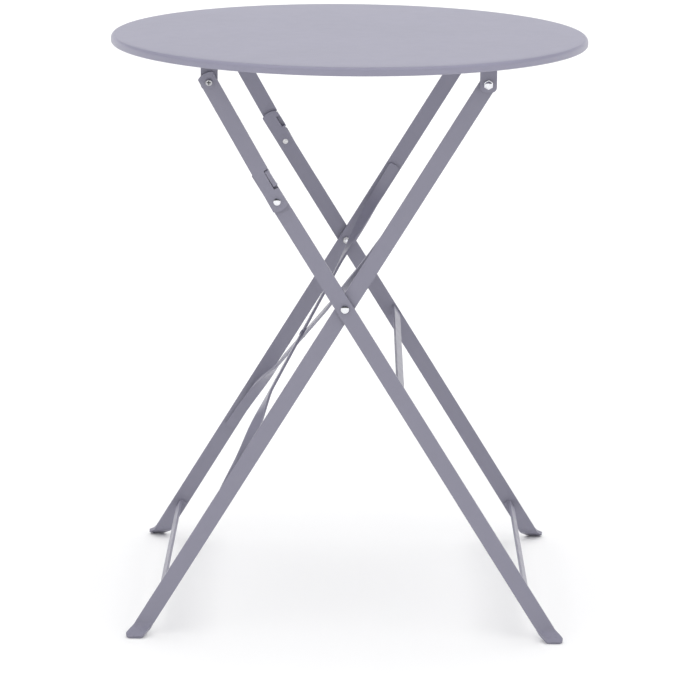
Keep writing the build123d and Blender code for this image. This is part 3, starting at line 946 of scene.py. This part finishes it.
def make_knee_fasteners():
    for side, end_name in front_and_rear:
        body = lathe([(0, 0), (large_pin, 0), (large_pin, bar_thickness), (0, bar_thickness)], 40)
        pieces = [(body, outward(knee, side, arm_inside))]
        pieces.append((dome_head(4.5 * mm, 2.4 * mm, 0.4 * mm), outward(knee, side, arm_face)))
        name = f"knee_rivet_{end_name}"
        add_piece(f"{name}_domed", gathered(pieces), bright_plating, f"arm_{end_name}", name)
    thin = washer_thickness
    tail = 3.5 * mm
    profile = [(0, -thin), (tail - 0.3 * mm, -thin), (tail, -0.4 * mm), (tail, 0), (large_pin, 0)]
    profile += [(large_pin, bar_thickness), (0, bar_thickness)]
    tails = both_ends(lambda: lathe(profile, 48), knee, outer_leg_inside)
    add_piece("knee_rivet_tails_flat", tails, dull_plating, "outer_frame", "knee_rivet_tails")
    rings = both_ends(lambda: ring(large_pin, washer_radius, thin), knee, outer_leg_face)
    add_piece("knee_washers_flat", rings, dull_plating, "outer_frame", "knee_washers")


# ---- Weld beads, where the upper crossbar meets the legs ----


def bead(points, radius, seed):
    """A lumpy painted bead along a closed loop of points."""
    chance = random.Random(seed)
    bm = bmesh.new()
    rings = []
    count = len(points)
    sides, wave, lump = 10, 0.22, 0.1
    for k, point in enumerate(points):
        heading = (points[(k + 1) % count] - points[k - 1]).normalized()
        first = heading.cross(y_axis).normalized()
        second = heading.cross(first)
        r = radius * (1 + wave * math.sin(k * 1.9) + chance.uniform(-lump, lump))
        turns = [2 * math.pi * j / sides for j in range(sides)]
        rings.append([bm.verts.new(point + (first * math.cos(t) + second * math.sin(t)) * r) for t in turns])
    for k in range(count):
        for j in range(sides):
            n = (j + 1) % sides
            low, high = rings[k], rings[(k + 1) % count]
            bm.faces.new((low[j], low[n], high[n], high[j]))
    return bm


def loop_around(middle, wide, half_wide, thin, half_thin, step):
    """Points around a rectangle, evenly spaced."""
    corners = [(-1, -1), (1, -1), (1, 1), (-1, 1)]
    points = []
    for (a, b), (c, d) in zip(corners, corners[1:] + corners[:1]):
        start = middle + wide * a * half_wide + thin * b * half_thin
        end = middle + wide * c * half_wide + thin * d * half_thin
        count = max(1, round((end - start).length / step))
        points += [start.lerp(end, k / count) for k in range(count)]
    return points


def make_weld_beads():
    middle = upper_bar_middle()
    half = upper_bar_width / 2
    for side, end_name in front_and_rear:
        centre = middle + y_axis * side * (outer_leg_inside - 0.2 * mm)
        points = loop_around(centre, outer_down, half, across(outer_down), strip_thickness / 2, 0.9 * mm)
        bm = bead(points, 1.0 * mm, 3 + side)
        add_piece(f"upper_crossbar_weld_{end_name}", bm, frame_paint, "outer_frame", None, math.pi)


# ---- Stage, lights and camera ----


def make_floor():
    size = 30.0
    bm = bmesh.new()
    bmesh.ops.create_grid(bm, x_segments=1, y_segments=1, size=size)
    mesh = bpy.data.meshes.new("floor")
    bm.to_mesh(mesh)
    bm.free()
    floor = bpy.data.objects.new("floor", mesh)
    bpy.context.scene.collection.objects.link(floor)
    mesh.materials.append(make_floor_material())


def add_sky_light(name, strength, spread, tilt):
    """A very wide sun: even, soft light from above, tilted a little by tilt."""
    data = bpy.data.lights.new(name, "SUN")
    data.energy = strength
    data.angle = spread
    light = bpy.data.objects.new(name, data)
    light.rotation_euler = tilt
    light.visible_glossy = False
    bpy.context.scene.collection.objects.link(light)


def make_world():
    """A studio that is bright near the horizon and dim overhead, so that bright metal has contrast."""
    world = bpy.data.worlds.new("studio")
    world.use_nodes = True
    tree = world.node_tree
    direction = tree.nodes.new("ShaderNodeTexCoord")
    split = tree.nodes.new("ShaderNodeSeparateXYZ")
    ramp = tree.nodes.new("ShaderNodeMapRange")
    ramp.interpolation_type = "SMOOTHSTEP"
    tree.links.new(direction.outputs["Generated"], split.inputs[0])
    tree.links.new(split.outputs["Z"], ramp.inputs["Value"])
    bright_up_to, dim_from, bright, dim = 0.2, 0.38, 1.25, 0.05
    limits = (bright_up_to, dim_from, bright, dim)
    for key, number in zip(("From Min", "From Max", "To Min", "To Max"), limits):
        ramp.inputs[key].default_value = number
    tree.links.new(ramp.outputs["Result"], tree.nodes["Background"].inputs["Strength"])
    tree.nodes["Background"].inputs["Color"].default_value = (1.0, 1.0, 1.0, 1.0)
    bpy.context.scene.world = world


def make_lights():
    make_world()
    add_sky_light("overhead", strength=3.75, spread=math.radians(110), tilt=(math.radians(1), 0, 0))


def make_camera():
    """The camera's place, pitch, yaw and roll, in metres and degrees."""
    place = Vector((0.0077, -3.8484, 1.2358))
    pitch, yaw, roll = math.radians(-13.5), math.radians(-0.05), math.radians(0.58)
    forward = Vector((math.sin(yaw) * math.cos(pitch), math.cos(yaw) * math.cos(pitch), math.sin(pitch)))
    level = forward.cross(Vector((0, 0, 1))).normalized()
    upright = level.cross(forward)
    right = level * math.cos(roll) + upright * math.sin(roll)
    up = upright * math.cos(roll) - level * math.sin(roll)
    data = bpy.data.cameras.new("camera")
    data.sensor_width = 36.0
    data.lens = 160.5
    data.clip_end = 200.0
    camera = bpy.data.objects.new("camera", data)
    camera.matrix_world = Matrix.Translation(place) @ Matrix((right, up, -forward)).transposed().to_4x4()
    bpy.context.scene.collection.objects.link(camera)
    bpy.context.scene.camera = camera


make_camera()
bpy.context.scene.view_settings.view_transform = "Standard"
make_lights()
make_floor()
make_tabletop()
make_hinge_straps()
make_legs_and_arms()
make_upper_crossbar()
make_lower_crossbar("outer_lower_crossbar", "outer_frame", outer_down, 1, outer_leg_inside)
make_lower_crossbar("inner_lower_crossbar", "inner_frame", inner_down, -1, inner_leg_inside)
make_brace()
make_cross_fasteners()
make_right_fasteners()
make_left_fasteners()
make_knee_fasteners()
make_weld_beads()
